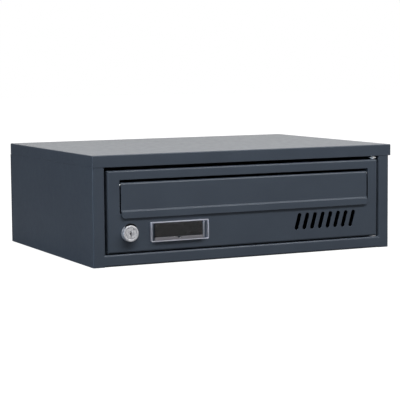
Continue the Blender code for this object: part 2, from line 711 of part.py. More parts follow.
def name_plate(clear, card_finish, zinc, parent):
    """A clear holder pegged to the door, a card behind its pane and a push-on clip on each peg."""
    front = FRONT - NAME_PROUD
    back = FRONT - GAP
    pane_front = front + NAME_PANE_RECESS
    pane_back = pane_front + NAME_PANE
    bm = bmesh.new()
    block(bm, (NAME_LEFT, front, NAME_BOTTOM), (NAME_RIGHT, back, NAME_TOP))
    holder = piece("name_plate_holder", bm, clear, parent)

    card_low = Vector((NAME_LEFT + NAME_POCKET_LEFT, back - CARD_THICKNESS, NAME_BOTTOM + NAME_LEDGE))
    card_high = Vector((NAME_RIGHT - NAME_POCKET_RIGHT, back, NAME_TOP - NAME_WALL - GAP))
    window = bmesh.new()
    block(window, (NAME_LEFT + NAME_WALL, front - SHEET, NAME_BOTTOM + NAME_WALL),
          (NAME_RIGHT - NAME_WALL, pane_front, NAME_TOP - NAME_WALL))
    cut(holder, window, "window")
    hollows = bmesh.new()
    for low_x, high_x in (
        (NAME_LEFT + NAME_WALL, card_low.x - GAP - NAME_WALL),
        (card_low.x - GAP, card_high.x + GAP),
        (card_high.x + GAP + NAME_WALL, NAME_RIGHT - NAME_WALL),
    ):
        block(hollows, (low_x, pane_back, card_low.z - GAP), (high_x, FRONT, card_high.z + GAP))
    cut(holder, hollows, "hollows")
    middle = (card_low.x + card_high.x) / 2
    notch = bmesh.new()
    rod(notch, "Y", (middle, 0, card_low.z - NAME_NOTCH_RADIUS / 4), NAME_NOTCH_RADIUS, front - SHEET,
        back + SHEET, 24)
    cut(holder, notch, "finger_notch")
    pegs = bmesh.new()
    for x in PEGS_X:
        rod(pegs, "Y", (x, 0, PEGS_Z), PEG_RADIUS, pane_back - NAME_PANE / 2, FRONT + PEG_LENGTH, 16)
    join(holder, pegs, "pegs")

    card = bmesh.new()
    block(card, card_low, card_high)
    piece("name_card", card, card_finish, parent)

    clip_front = FRONT + SHEET + GAP
    clip_bore = PEG_RADIUS + PEG_CLEARANCE
    for name, x in zip(("left", "right"), PEGS_X):
        clip_back = clip_front + CLIP_THICKNESS
        profile = [(clip_bore, clip_front), (CLIP_RADIUS, clip_front), (CLIP_RADIUS, clip_back),
                   (clip_bore, clip_back)]
        clip = bmesh.new()
        turn(clip, profile, "Y", (x, 0, PEGS_Z), 20)
        piece(f"name_plate_clip_{name}", clip, zinc, parent, Vector((x, clip_front, PEGS_Z)))


# ---------------------------------------------------------------- lock
def lock_housing(nickel, black, zinc, parent):
    """Barrel and flatted body in one turned piece, its drip ring, and the nut behind the door."""
    bore = PLUG_RADIUS + PLUG_CLEARANCE
    groove_front = BARREL_FRONT + FACE_RING
    groove_back = groove_front + GROOVE_WIDTH
    shoulder = FRONT - GAP
    chamfer = FACE_RING / 3
    profile = [
        (bore, BARREL_FRONT),
        (BARREL_RADIUS - chamfer, BARREL_FRONT),
        (BARREL_RADIUS, BARREL_FRONT + chamfer),
        (BARREL_RADIUS, groove_front),
        (BARREL_RADIUS - GROOVE_DEPTH, groove_front),
        (BARREL_RADIUS - GROOVE_DEPTH, groove_back),
        (BARREL_RADIUS, groove_back),
        (BARREL_RADIUS, shoulder),
        (BODY_RADIUS, shoulder),
        (BODY_RADIUS, BODY_REAR),
        (bore, BODY_REAR),
    ]
    bm = bmesh.new()
    turn(bm, profile, "Y", LOCK, 40)
    housing = piece("lock_housing", bm, nickel, parent, LOCK)
    flats = bmesh.new()
    for side in (-1, 1):
        low, high = sorted((LOCK.z + side * BODY_FLATS / 2, LOCK.z + side * (BARREL_RADIUS + SHEET)))
        block(flats, (LOCK.x - 2 * BARREL_RADIUS, shoulder, low),
              (LOCK.x + 2 * BARREL_RADIUS, BODY_REAR + SHEET, high))
    cut(housing, flats, "flats")

    ring_front = groove_front + GAP
    ring_back = groove_back - GAP
    centre = (LOCK.x, LOCK.z)
    up = math.pi / 2
    lip_start = up - DRIP_LIP_HALF_ANGLE
    lip_end = up + DRIP_LIP_HALF_ANGLE
    outline = arc(centre, BARREL_RADIUS + DRIP_LIP, lip_start, lip_end, 10) + arc(
        centre, BARREL_RADIUS, lip_end, lip_start + 2 * math.pi, 30)
    ring = bmesh.new()
    extrude(ring, outline, "Y", ring_front, ring_back)
    drip_ring = piece("lock_drip_ring", ring, black, parent, LOCK)
    ring_bore = bmesh.new()
    rod(ring_bore, "Y", LOCK, BARREL_RADIUS - GROOVE_DEPTH + DRIP_RING_CLEARANCE, ring_front - SHEET,
        ring_back + SHEET, 40)
    cut(drip_ring, ring_bore, "bore")

    nut_front = FRONT + SHEET + GAP
    nut = bmesh.new()
    extrude(nut, hexagon(centre, LOCK_NUT_ACROSS_FLATS), "Y", nut_front, nut_front + LOCK_NUT_THICKNESS)
    nut_piece = piece("lock_nut", nut, zinc, parent, LOCK)
    nut_bore = bmesh.new()
    rod(nut_bore, "Y", LOCK, BODY_RADIUS + BODY_CLEARANCE, nut_front - SHEET,
        nut_front + LOCK_NUT_THICKNESS + SHEET, 40)
    cut(nut_piece, nut_bore, "bore")


def lock_core(nickel, steel, zinc, parent):
    """Plug with keyway and square tang, the cam on it, and the washer and screw that hold the cam."""
    face = BARREL_FRONT + PLUG_RECESS
    plug = bmesh.new()
    rod(plug, "Y", LOCK, PLUG_RADIUS, face, TANG_START, 40)
    plug_piece = piece("lock_plug", plug, nickel, parent)
    tang = bmesh.new()
    half_tang = TANG / 2
    block(tang, (LOCK.x - half_tang, TANG_START - SHEET, LOCK.z - half_tang),
          (LOCK.x + half_tang, TANG_END, LOCK.z + half_tang))
    join(plug_piece, tang, "tang")
    keyway = bmesh.new()
    half_key = KEYWAY_WIDTH / 2
    block(keyway, (LOCK.x - half_key, face - SHEET, LOCK.z - KEYWAY_HEIGHT / 2),
          (LOCK.x + half_key, face + KEYWAY_DEPTH, LOCK.z + KEYWAY_HEIGHT / 2))
    cut(plug_piece, keyway, "keyway")
    side_ward = bmesh.new()
    block(side_ward, (LOCK.x - 3 * half_key, face - SHEET, LOCK.z - KEYWAY_HEIGHT / 6),
          (LOCK.x, face + KEYWAY_DEPTH, LOCK.z + KEYWAY_HEIGHT / 8))
    cut(plug_piece, side_ward, "side_ward")
    screw_hole = bmesh.new()
    rod(screw_hole, "Y", LOCK, CAM_SCREW_RADIUS + GAP, TANG_END - CAM_SCREW_LENGTH - GAP,
        TANG_END + SHEET, 20)
    cut(plug_piece, screw_hole, "screw_hole")

    hub = CAM_WIDTH / 2
    outline = plate_outline((LOCK.x - hub, LOCK.z - hub), (LOCK.x + hub, LOCK.z + CAM_LENGTH),
                            (hub * 0.99, hub * 0.99, hub / 2, hub / 2))
    cam = bmesh.new()
    extrude(cam, outline, "Y", CAM_FRONT, CAM_REAR)
    cam_piece = piece("lock_cam", cam, steel, parent)
    seat = bmesh.new()
    half_seat = half_tang + TANG_CLEARANCE
    block(seat, (LOCK.x - half_seat, CAM_FRONT - SHEET, LOCK.z - half_seat),
          (LOCK.x + half_seat, CAM_REAR + SHEET, LOCK.z + half_seat))
    cut(cam_piece, seat, "square_hole")

    washer_hole = CAM_SCREW_RADIUS + GAP
    washer_back = WASHER_FRONT + CAM_WASHER_THICKNESS
    washer = bmesh.new()
    turn(washer, [(washer_hole, WASHER_FRONT), (CAM_WASHER_RADIUS, WASHER_FRONT),
                  (CAM_WASHER_RADIUS, washer_back), (washer_hole, washer_back)], "Y", LOCK)
    piece("cam_washer", washer, zinc, parent)

    head_back = SCREW_HEAD_FRONT + CAM_SCREW_HEAD_HEIGHT
    screw = bmesh.new()
    turn(screw, [
        (0.0, TANG_END - CAM_SCREW_LENGTH),
        (CAM_SCREW_RADIUS, TANG_END - CAM_SCREW_LENGTH),
        (CAM_SCREW_RADIUS, SCREW_HEAD_FRONT),
        (CAM_SCREW_HEAD_RADIUS, SCREW_HEAD_FRONT),
        (CAM_SCREW_HEAD_RADIUS, head_back - CAM_SCREW_HEAD_HEIGHT / 3),
        (CAM_SCREW_HEAD_RADIUS * 0.75, head_back),
        (0.0, head_back),
    ], "Y", LOCK, 24)
    screw_piece = piece("cam_screw", screw, zinc, parent)
    for label, across, upright in (
        ("level", CROSS_LENGTH, CROSS_WIDTH),
        ("upright", CROSS_WIDTH, CROSS_LENGTH),
    ):
        recess = bmesh.new()
        block(recess, (LOCK.x - across / 2, head_back - CAM_SCREW_HEAD_HEIGHT / 2, LOCK.z - upright / 2),
              (LOCK.x + across / 2, head_back + SHEET, LOCK.z + upright / 2))
        cut(screw_piece, recess, f"{label}_recess")


def main():
    for obj in list(bpy.data.objects):
        bpy.data.objects.remove(obj, do_unlink=True)

    coat = material("anthracite_powder_coat", (0.046, 0.058, 0.076), 0.45)
    zinc = material("bright_zinc", (0.60, 0.62, 0.65), 0.30, 1.0)
    nickel = material("nickel_plate", (0.66, 0.66, 0.67), 0.22, 1.0)
    black = material("black_plastic", (0.010, 0.010, 0.011), 0.55)
    clear = material("clear_plastic", (0.90, 0.92, 0.94), 0.08, 0.0, 0.9)
    card = material("black_card", (0.022, 0.023, 0.025), 0.70)

    front_rail, bottom = casing(coat, zinc)
    hinge_hardware(front_rail, bottom, zinc)

    door = pivot("door_pivot", HINGE)
    door_panel(coat, door)
    flap_rod(zinc, door)
    name_plate(clear, card, zinc, door)
    lock_housing(nickel, black, zinc, door)

    flap = pivot("flap_pivot", FLAP_AXIS, door)
    letter_flap(coat, flap)

    core = pivot("lock_pivot", LOCK, door)
    lock_core(nickel, zinc, zinc, core)


main()
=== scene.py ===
# %% [markdown]
# # A wall letterbox in folded steel
# A flat letterbox is sheet-metal work: a casing of folded panels, a cover slipped over it, and a door with a
# letter flap, a cam lock, a name plate and a row of slanted vents. The imported model holds the exact shapes
# and the joints. This lesson builds the surfaces that are seen, piece by piece, on top of that fixed frame.
# The frame is loaded first, and its box is kept; the floor and the lamps are placed by it.

# %% Load the frame
import math

import bmesh
import bpy
from mathutils import Matrix, Vector


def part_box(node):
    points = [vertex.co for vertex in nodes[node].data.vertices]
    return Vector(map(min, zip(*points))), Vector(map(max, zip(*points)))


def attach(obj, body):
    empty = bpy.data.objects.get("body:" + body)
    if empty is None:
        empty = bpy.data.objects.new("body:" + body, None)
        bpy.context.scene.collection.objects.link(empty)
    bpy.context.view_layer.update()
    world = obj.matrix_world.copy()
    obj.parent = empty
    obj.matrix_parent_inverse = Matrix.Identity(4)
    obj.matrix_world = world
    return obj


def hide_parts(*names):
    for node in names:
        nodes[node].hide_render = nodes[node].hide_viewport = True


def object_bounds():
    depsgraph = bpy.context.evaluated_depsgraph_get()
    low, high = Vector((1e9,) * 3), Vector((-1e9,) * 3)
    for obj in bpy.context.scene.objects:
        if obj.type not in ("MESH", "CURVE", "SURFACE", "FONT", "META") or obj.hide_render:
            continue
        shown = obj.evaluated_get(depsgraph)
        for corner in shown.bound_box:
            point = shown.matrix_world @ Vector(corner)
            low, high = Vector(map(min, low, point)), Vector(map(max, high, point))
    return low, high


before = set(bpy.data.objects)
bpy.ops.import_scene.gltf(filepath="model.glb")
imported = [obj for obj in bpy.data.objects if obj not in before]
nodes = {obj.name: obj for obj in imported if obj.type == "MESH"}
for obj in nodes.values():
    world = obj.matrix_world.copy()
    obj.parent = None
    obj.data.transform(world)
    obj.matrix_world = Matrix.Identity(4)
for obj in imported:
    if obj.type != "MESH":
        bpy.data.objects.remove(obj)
cad_low, cad_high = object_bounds()
print("frame, mm:", [round(1000 * span, 1) for span in cad_high - cad_low])

# %% [markdown]
# ## Where the viewer stands
# A long lens keeps the box's edges nearly parallel, as in a catalogue picture. The camera is placed by its
# yaw, pitch and roll, because these can be read off the edges of a box one after another. Its matrix is built
# from the three directions they give. The display is set to plain sRGB, so that white stays white.

# %% Camera
scene = bpy.context.scene
scene.view_settings.view_transform = "Standard"


def camera_matrix(place, yaw, pitch, roll):
    """A camera at place, turned right by yaw, down by pitch and over by roll, in degrees."""
    yaw, pitch, roll = (math.radians(angle) for angle in (yaw, pitch, roll))
    forward = Vector((math.sin(yaw) * math.cos(pitch), math.cos(yaw) * math.cos(pitch), -math.sin(pitch)))
    right = Vector((math.cos(yaw), -math.sin(yaw), 0.0))
    up = right.cross(forward)
    across = math.cos(roll) * right + math.sin(roll) * up
    upright = math.cos(roll) * up - math.sin(roll) * right
    turned = Matrix((across, upright, -forward)).transposed().to_4x4()
    return Matrix.Translation(place) @ turned


camera = bpy.data.objects.new("catalogue_camera", bpy.data.cameras.new("catalogue_camera"))
scene.collection.objects.link(camera)
camera.data.sensor_width = 36.0
camera.data.lens = 132.62
camera.matrix_world = camera_matrix((-0.75446, -1.71567, 0.16344), yaw=25.689, pitch=5.573, roll=-0.490)
scene.camera = camera
print("camera distance, m:", round(camera.location.length, 3))

# %% [markdown]
# ## Floor and light
# Satin paint shows its surroundings more than its own colour, so the room is built before the paint. The room
# is white to the eye but dim as a light, so that three soft lamps can shape the box. A long narrow one
# overhead draws the bright lines along the folds. A bluish one at the left cools the side. A large one high
# at the back gives the pale sheen on the cover, seen almost edge on. The floor is a plain pale sheet.

# %% Floor, room and lamps
floor_level = cad_low.z - 0.0004
FLOOR_GLOW = 0.95

bm = bmesh.new()
bmesh.ops.create_grid(bm, x_segments=1, y_segments=1, size=6.0,
                      matrix=Matrix.Translation((0, 0, floor_level)))
floor_mesh = bpy.data.meshes.new("floor")
bm.to_mesh(floor_mesh)
bm.free()
floor = bpy.data.objects.new("floor", floor_mesh)
scene.collection.objects.link(floor)


def pale_floor():
    """Pale card. Its glow is only for the eye, so the floor looks white but stays dim in reflections."""
    pale = bpy.data.materials.new("pale_floor")
    pale.use_nodes = True
    made, links = pale.node_tree.nodes, pale.node_tree.links
    shader = made["Principled BSDF"]
    shader.inputs["Base Color"].default_value = (0.16, 0.16, 0.16, 1)
    shader.inputs["Roughness"].default_value = 0.9
    shader.inputs["Specular IOR Level"].default_value = 0.1
    glow = made.new("ShaderNodeEmission")
    glow.inputs["Strength"].default_value = FLOOR_GLOW
    path = made.new("ShaderNodeLightPath")
    lit = made.new("ShaderNodeAddShader")
    choice = made.new("ShaderNodeMixShader")
    links.new(shader.outputs["BSDF"], lit.inputs[0])
    links.new(glow.outputs["Emission"], lit.inputs[1])
    links.new(path.outputs["Is Camera Ray"], choice.inputs["Fac"])
    links.new(shader.outputs["BSDF"], choice.inputs[1])
    links.new(lit.outputs["Shader"], choice.inputs[2])
    links.new(choice.outputs["Shader"], made["Material Output"].inputs["Surface"])
    return pale


floor_mesh.materials.append(pale_floor())

ROOM_MEAN = 0.33
ROOM_TILT = (0.22, -0.08, 0.60)


def white_room():
    """White where it is seen. As a light it is dim, and brighter overhead than near the horizon."""
    room = bpy.data.worlds.new("white_room")
    scene.world = room
    room.use_nodes = True
    made, links = room.node_tree.nodes, room.node_tree.links
    backdrop = made["Background"]
    backdrop.inputs["Color"].default_value = (1, 1, 1, 1)
    lit = made.new("ShaderNodeBackground")
    direction = made.new("ShaderNodeTexCoord")
    tilt = made.new("ShaderNodeVectorMath")
    tilt.operation = "DOT_PRODUCT"
    tilt.inputs[1].default_value = ROOM_TILT
    level = made.new("ShaderNodeMath")
    level.operation = "ADD"
    level.inputs[1].default_value = ROOM_MEAN
    links.new(direction.outputs["Generated"], tilt.inputs[0])
    links.new(tilt.outputs["Value"], level.inputs[0])
    links.new(level.outputs["Value"], lit.inputs["Strength"])
    path = made.new("ShaderNodeLightPath")
    choice = made.new("ShaderNodeMixShader")
    links.new(path.outputs["Is Camera Ray"], choice.inputs["Fac"])
    links.new(lit.outputs["Background"], choice.inputs[1])
    links.new(backdrop.outputs["Background"], choice.inputs[2])
    links.new(choice.outputs["Shader"], made["World Output"].inputs["Surface"])


white_room()


def softbox(name, place, aim, width, height, power, tint=(1, 1, 1)):
    """A rectangular lamp at place that faces aim."""
    lamp = bpy.data.lights.new(name, "AREA")
    lamp.shape = "RECTANGLE"
    lamp.size = width
    lamp.size_y = height
    lamp.energy = power
    lamp.color = tint
    obj = bpy.data.objects.new(name, lamp)
    scene.collection.objects.link(obj)
    obj.location = place
    obj.rotation_euler = (Vector(aim) - Vector(place)).to_track_quat("-Z", "Y").to_euler()
    return obj


middle = (cad_low + cad_high) / 2
softbox("overhead_softbox", (0.1, -0.80, 0.85), middle, 1.5, 0.12, 15)
softbox("left_softbox", (-2.0, -0.45, 0.10), middle, 0.4, 0.9, 25, (0.68, 0.84, 1.0))
softbox("back_softbox", (1.6, 3.4, 1.40), middle, 3.4, 1.7, 19)

# %% [markdown]
# ## Powder coat
# The steel is sprayed with dry powder and baked. The baked skin is satin, and it has a fine ripple that
# painters call orange peel, with waves about a millimetre long and far too shallow to see except in a
# reflection. So the colour stays almost even, while a noise texture moves the roughness and a second, finer
# one bends the surface through a Bump node. Both read Object coordinates, in metres.

# %% Material helpers and the powder coat


def new_finish(name, color, roughness, metallic=0.0):
    """A material with its shader set. Returns the material, its nodes, its links and the shader."""
    finish = bpy.data.materials.new(name)
    finish.use_nodes = True
    tree = finish.node_tree
    shader = tree.nodes["Principled BSDF"]
    shader.inputs["Base Color"].default_value = (*color, 1)
    shader.inputs["Roughness"].default_value = roughness
    shader.inputs["Metallic"].default_value = metallic
    return finish, tree.nodes, tree.links, shader


def noise(tree_nodes, tree_links, scale, detail=2.0, stretch=(1, 1, 1)):
    """Noise on Object coordinates, scale waves to the metre. A small stretch number makes waves longer."""
    coordinates = tree_nodes.new("ShaderNodeTexCoord")
    mapping = tree_nodes.new("ShaderNodeMapping")
    mapping.inputs["Scale"].default_value = stretch
    texture = tree_nodes.new("ShaderNodeTexNoise")
    texture.inputs["Scale"].default_value = scale
    texture.inputs["Detail"].default_value = detail
    tree_links.new(coordinates.outputs["Object"], mapping.inputs["Vector"])
    tree_links.new(mapping.outputs["Vector"], texture.inputs["Vector"])
    return texture


def between(tree_nodes, tree_links, texture, low, high):
    """Spreads a noise's middle range between two values."""
    spread = tree_nodes.new("ShaderNodeMapRange")
    spread.inputs["From Min"].default_value = 0.3
    spread.inputs["From Max"].default_value = 0.7
    spread.inputs["To Min"].default_value = low
    spread.inputs["To Max"].default_value = high
    tree_links.new(texture.outputs["Fac"], spread.inputs["Value"])
    return spread.outputs["Result"]


def ramp(tree_nodes, tree_links, texture, dark, light):
    """Colours a noise's middle range from dark to light."""
    made = tree_nodes.new("ShaderNodeValToRGB")
    made.color_ramp.elements[0].position = 0.35
    made.color_ramp.elements[0].color = (*dark, 1)
    made.color_ramp.elements[1].position = 0.65
    made.color_ramp.elements[1].color = (*light, 1)
    tree_links.new(texture.outputs["Fac"], made.inputs["Fac"])
    return made.outputs["Color"]


def ripple(tree_nodes, tree_links, shader, texture, height):
    """Bends the surface by a texture, height metres from trough to crest."""
    bump = tree_nodes.new("ShaderNodeBump")
    bump.inputs["Strength"].default_value = 1.0
    bump.inputs["Distance"].default_value = height
    tree_links.new(texture.outputs["Fac"], bump.inputs["Height"])
    tree_links.new(bump.outputs["Normal"], shader.inputs["Normal"])


def powder_coat():
    finish, made, links, shader = new_finish("anthracite_powder_coat", (0.0425, 0.0535, 0.0705), 0.31)
    shader.inputs["Specular IOR Level"].default_value = 0.24
    shade = noise(made, links, 24, 3)
    tones = ramp(made, links, shade, (0.0410, 0.0515, 0.0685), (0.0440, 0.0555, 0.0730))
    links.new(tones, shader.inputs["Base Color"])
    cloud = noise(made, links, 130, 3)
    links.new(between(made, links, cloud, 0.28, 0.34), shader.inputs["Roughness"])
    ripple(made, links, shader, noise(made, links, 900, 2), 0.000004)
    return finish


coat = powder_coat()
print("material:", coat.name)

# %% [markdown]
# ## Bright metals
# Three bright finishes stay apart on the real box. The small hardware is zinc plated: bluish, a little
# uneven, with a faint yellow where the plating was passivated. The lock is die-cast and nickel plated, with
# turning marks that vary its roughness. The hinge washers are polished. A full metal is a mirror, and beside
# a dark door it turns dark too. So the zinc has a Metallic of 1, but the nickel has 0.6 and the washers 0.4,
# which keeps them bright from every side.

# %% Zinc and nickel


def zinc_plate():
    finish, made, links, shader = new_finish("bright_zinc", (0.62, 0.64, 0.67), 0.28, 1.0)
    shade = noise(made, links, 260, 3)
    links.new(ramp(made, links, shade, (0.56, 0.59, 0.63), (0.68, 0.68, 0.66)), shader.inputs["Base Color"])
    cloud = noise(made, links, 700, 2)
    links.new(between(made, links, cloud, 0.22, 0.36), shader.inputs["Roughness"])
    ripple(made, links, shader, noise(made, links, 2500, 2), 0.000006)
    return finish


def nickel_plate():
    finish, made, links, shader = new_finish("nickel_plate", (0.70, 0.70, 0.73), 0.3, 0.6)
    shade = noise(made, links, 420, 2)
    links.new(ramp(made, links, shade, (0.50, 0.50, 0.54), (0.84, 0.84, 0.86)), shader.inputs["Base Color"])
    turning = noise(made, links, 600, 2, (0.25, 6.0, 0.25))
    links.new(between(made, links, turning, 0.22, 0.40), shader.inputs["Roughness"])
    ripple(made, links, shader, noise(made, links, 900, 2), 0.00004)
    return finish


def polished_washer():
    finish, made, links, shader = new_finish("polished_washer", (0.88, 0.88, 0.90), 0.5, 0.4)
    shade = noise(made, links, 500, 2)
    links.new(ramp(made, links, shade, (0.80, 0.80, 0.82), (0.92, 0.92, 0.94)), shader.inputs["Base Color"])
    links.new(between(made, links, shade, 0.45, 0.55), shader.inputs["Roughness"])
    return finish


zinc = zinc_plate()
nickel = nickel_plate()
washer_bright = polished_washer()
print("materials:", zinc.name, nickel.name, washer_bright.name)

# %% [markdown]
# ## Plastics and card
# The drip ring over the lock is matt black plastic. The name plate is a clear moulding over a black card.
# Clear plastic is a Principled shader with acrylic's index of 1.49, and its mould polish is broken by a very
# light ripple. The thin pane passes all light. The walls pass a quarter of it and the ledge a tenth, and
# their
# grey is painted light: it stands for the milky glow that thick clear plastic gathers. The card is soft
# black, with paper fibres and a little dust on it.

# %% Plastics and card


def black_plastic():
    finish, made, links, shader = new_finish("black_plastic", (0.004, 0.004, 0.005), 0.7)
    shader.inputs["Specular IOR Level"].default_value = 0.12
    grain = noise(made, links, 1800, 2)
    links.new(between(made, links, grain, 0.64, 0.78), shader.inputs["Roughness"])
    ripple(made, links, shader, grain, 0.00001)
    return finish


def clear_plastic(name, color, transmission, roughness, gloss):
    """Clear plastic. A thick edge gathers light and looks milky. Here that glow is painted light, a grey
    colour that passes less than a flat pane.
    """
    finish, made, links, shader = new_finish(name, color, roughness)
    shader.inputs["Transmission Weight"].default_value = transmission
    shader.inputs["IOR"].default_value = 1.49
    shader.inputs["Specular IOR Level"].default_value = gloss
    flow = noise(made, links, 160, 2, (0.3, 1, 1))
    links.new(between(made, links, flow, 0.7 * roughness, 1.5 * roughness), shader.inputs["Roughness"])
    ripple(made, links, shader, flow, 0.000002)
    return finish


def black_card():
    finish, made, links, shader = new_finish("black_card", (0.007, 0.007, 0.008), 0.75)
    shader.inputs["Specular IOR Level"].default_value = 0.15
    dust = noise(made, links, 210, 3)
    tones = ramp(made, links, dust, (0.004, 0.004, 0.005), (0.013, 0.012, 0.014))
    links.new(tones, shader.inputs["Base Color"])
    fibres = noise(made, links, 2600, 3, (0.2, 1, 1))
    ripple(made, links, shader, fibres, 0.00002)
    return finish


matt_black = black_plastic()
pane_clear = clear_plastic("clear_pane", (0.97, 0.97, 0.98), 1.0, 0.03, 0.12)
# The grey of the walls and the ledge is painted light, the glow that thick clear plastic gathers.
glow_painted_edge = clear_plastic("clear_edge_painted_glow", (0.42, 0.43, 0.49), 0.25, 0.14, 0.5)
glow_painted_ledge = clear_plastic("clear_ledge_painted_glow", (0.155, 0.150, 0.165), 0.1, 0.30, 0.4)
card_black = black_card()
print("materials:", matt_black.name, pane_clear.name, glow_painted_edge.name, glow_painted_ledge.name, card_black.name)

# %% [markdown]
# ## From a folded outline to a piece
# Every sheet piece is made the same way, as in the workshop: the outer skin is folded from a few flat faces,
# its fold lines are rounded, and only then does it get its thickness, inwards, with a Solidify modifier. A
# Bevel modifier eases the cut edges, because paint never leaves a sharp one, and those edges catch the light.
# The skin must face outwards before it gets its thickness, so one face is checked against a known direction.

# %% Sheet helpers
MM = 0.001
SHEET = 1.0 * MM
FOLD = 2.3 * MM
FOLD_STEPS = 6
CUT_EDGE = 0.15 * MM
NEAR = 1e-6


def block(bm, low, high):
    """A box between two corners."""
    low, high = Vector(low), Vector(high)
    size = Matrix.Diagonal((*(high - low), 1))
    return bmesh.ops.create_cube(bm, size=1, matrix=Matrix.Translation((low + high) / 2) @ size)["verts"]


def moved(bm, result, travel):
    """Moves what an extrude has made, and returns its new edges."""
    verts = [item for item in result["geom"] if isinstance(item, bmesh.types.BMVert)]
    bmesh.ops.translate(bm, vec=travel, verts=verts)
    return [item for item in result["geom"] if isinstance(item, bmesh.types.BMEdge)]


def strip(bm, corners, travel):
    """A folded strip: a line of corners drawn along travel. Returns the fold lines."""
    verts = [bm.verts.new(corner) for corner in corners]
    line = [bm.edges.new(pair) for pair in zip(verts, verts[1:])]
    pulled(bm, line, travel)
    along = Vector(travel).normalized()
    return [edge for edge in bm.edges if len(edge.link_faces) == 2
            and abs((edge.verts[1].co - edge.verts[0].co).normalized().dot(along)) > 0.999]


def pulled(bm, edges, travel):
    """Draws edges out into new faces along travel, and returns their new edges."""
    return moved(bm, bmesh.ops.extrude_edge_only(bm, edges=edges), travel)


def round_over(bm, edges, radius, segments=FOLD_STEPS):
    bmesh.ops.bevel(bm, geom=edges, offset=radius, offset_type="OFFSET", segments=segments, profile=0.5,
                    affect="EDGES", material=-1)


def face_outward(bm, outward):
    """Makes all faces agree, and turns them so that the largest face across outward points along it."""
    bmesh.ops.recalc_face_normals(bm, faces=bm.faces)
    outward = Vector(outward)
    across = [face for face in bm.faces if abs(face.normal.dot(outward)) > 0.9]
    if max(across, key=lambda face: face.calc_area()).normal.dot(outward) < 0:
        bmesh.ops.reverse_faces(bm, faces=bm.faces)


def shown(name, bm, finish, body, stands_for, thickness=0.0, ease=0.0, ease_steps=2):
    """Makes the object: mesh, finish, thickness and eased edges, riding on its body in place of CAD nodes."""
    mesh = bpy.data.meshes.new(name)
    bm.to_mesh(mesh)
    bm.free()
    mesh.materials.append(finish)
    mesh.shade_smooth()
    obj = bpy.data.objects.new(name, mesh)
    scene.collection.objects.link(obj)
    if thickness:
        skin = obj.modifiers.new("sheet", "SOLIDIFY")
        skin.thickness = thickness
        skin.offset = -1
        skin.use_even_offset = True
    if ease:
        eased = obj.modifiers.new("eased_edges", "BEVEL")
        eased.width = ease
        eased.segments = ease_steps
        eased.limit_method = "ANGLE"
        eased.angle_limit = math.radians(40)
        eased.harden_normals = True
    if thickness or ease:
        even = obj.modifiers.new("flat_faces_stay_flat", "WEIGHTED_NORMAL")
        even.weight = 80
    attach(obj, body)
    if stands_for:
        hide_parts(*stands_for)
    bpy.context.view_layer.update()
    seen = obj.evaluated_get(bpy.context.evaluated_depsgraph_get()).to_mesh()
    xs, ys, zs = zip(*(vert.co for vert in seen.vertices))
    spans = [round(1000 * (max(axis) - min(axis)), 1) for axis in (xs, ys, zs)]
    print(f"{name}: {len(seen.polygons)} faces, mm", spans)
    return obj


# %% [markdown]
# ## Top cover
# The cover is a shallow tray turned upside down: a flat sheet with four edges folded down, slipped over the
# casing. A cube without its underside is that tray already. Its upper edges and its upright corners, which
# are welded and ground, are rounded alike, to the tight fold of a press brake.

# %% Top cover
cover_low, cover_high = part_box("top_cover")
COVER_FOLD = 1.3 * MM


def top_cover():
    bm = bmesh.new()
    block(bm, cover_low, cover_high)
    bmesh.ops.delete(bm, geom=[face for face in bm.faces if face.normal.z < -0.5], context="FACES")
    folds = [edge for edge in bm.edges if len(edge.link_faces) == 2]
    round_over(bm, folds, COVER_FOLD, 5)
    face_outward(bm, (0, 0, 1))
    return shown("cover_sheet", bm, coat, "casing", ["top_cover"], SHEET, CUT_EDGE)


top_cover()

# %% [markdown]
# ## Side panels
# Seen from above, a side panel is a long hook: a short return, the stile beside the door, the side itself and
# a flange at the back. So its outline is drawn once as a line of five corners and pulled upwards, and its
# fold lines are rounded. Only the flat side goes on up, inside the cover. The right panel is the same line
# with its sign changed. The left one first steps inwards, so that the cover lies flush with it from outside.

# %% Side panels
STILE_WIDTH = 14.0 * MM
STILE_RETURN = 12.0 * MM
REAR_FLANGE = 14.0 * MM
TUCK = 1.3 * MM
stile_top = cover_low.z - 0.05 * MM


def side_panel(name, node, side, tuck):
    low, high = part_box(node)
    edge = high.x if side > 0 else low.x
    inner = edge - side * STILE_WIDTH
    outline = [(inner, low.y + STILE_RETURN), (inner, low.y), (edge, low.y), (edge, high.y),
               (edge - side * REAR_FLANGE, high.y)]
    bm = bmesh.new()
    folds = strip(bm, [(x, y, low.z) for x, y in outline], (0, 0, stile_top - low.z))
    round_over(bm, folds, FOLD)
    flat_top = [e for e in bm.edges if all(abs(vert.co.z - stile_top) < NEAR and abs(vert.co.x - edge) < NEAR
                                           for vert in e.verts)]
    if tuck:
        flat_top = pulled(bm, flat_top, (-side * tuck, 0, 0))
        flat_top = [e for e in flat_top
                    if len(e.link_faces) == 1 and abs(e.verts[0].co.x - e.verts[1].co.x) < NEAR]
    pulled(bm, flat_top, (0, 0, high.z - stile_top))
    face_outward(bm, (side, 0, 0))
    return shown(name, bm, coat, "casing", [node], SHEET, CUT_EDGE)


side_panel("left_side_sheet", "left_side_panel", -1, TUCK)
side_panel("right_side_sheet", "right_side_panel", 1, 0.0)

# %% [markdown]
# ## Bottom panel
# The floor of the box, the rail under the door and a flange at the back are one sheet too. The strip is
# drawn from end to end first, wide enough to meet the stiles' flat faces, past their folds. The floor is then
# pulled out to the sides, behind the stiles, as the blank is cut in the workshop.

# %% Bottom panel
RAIL_HEIGHT = 13.1 * MM
RAIL_RETURN = 14.0 * MM
bottom_low, bottom_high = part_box("bottom_panel")
back_low, back_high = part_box("back_panel")


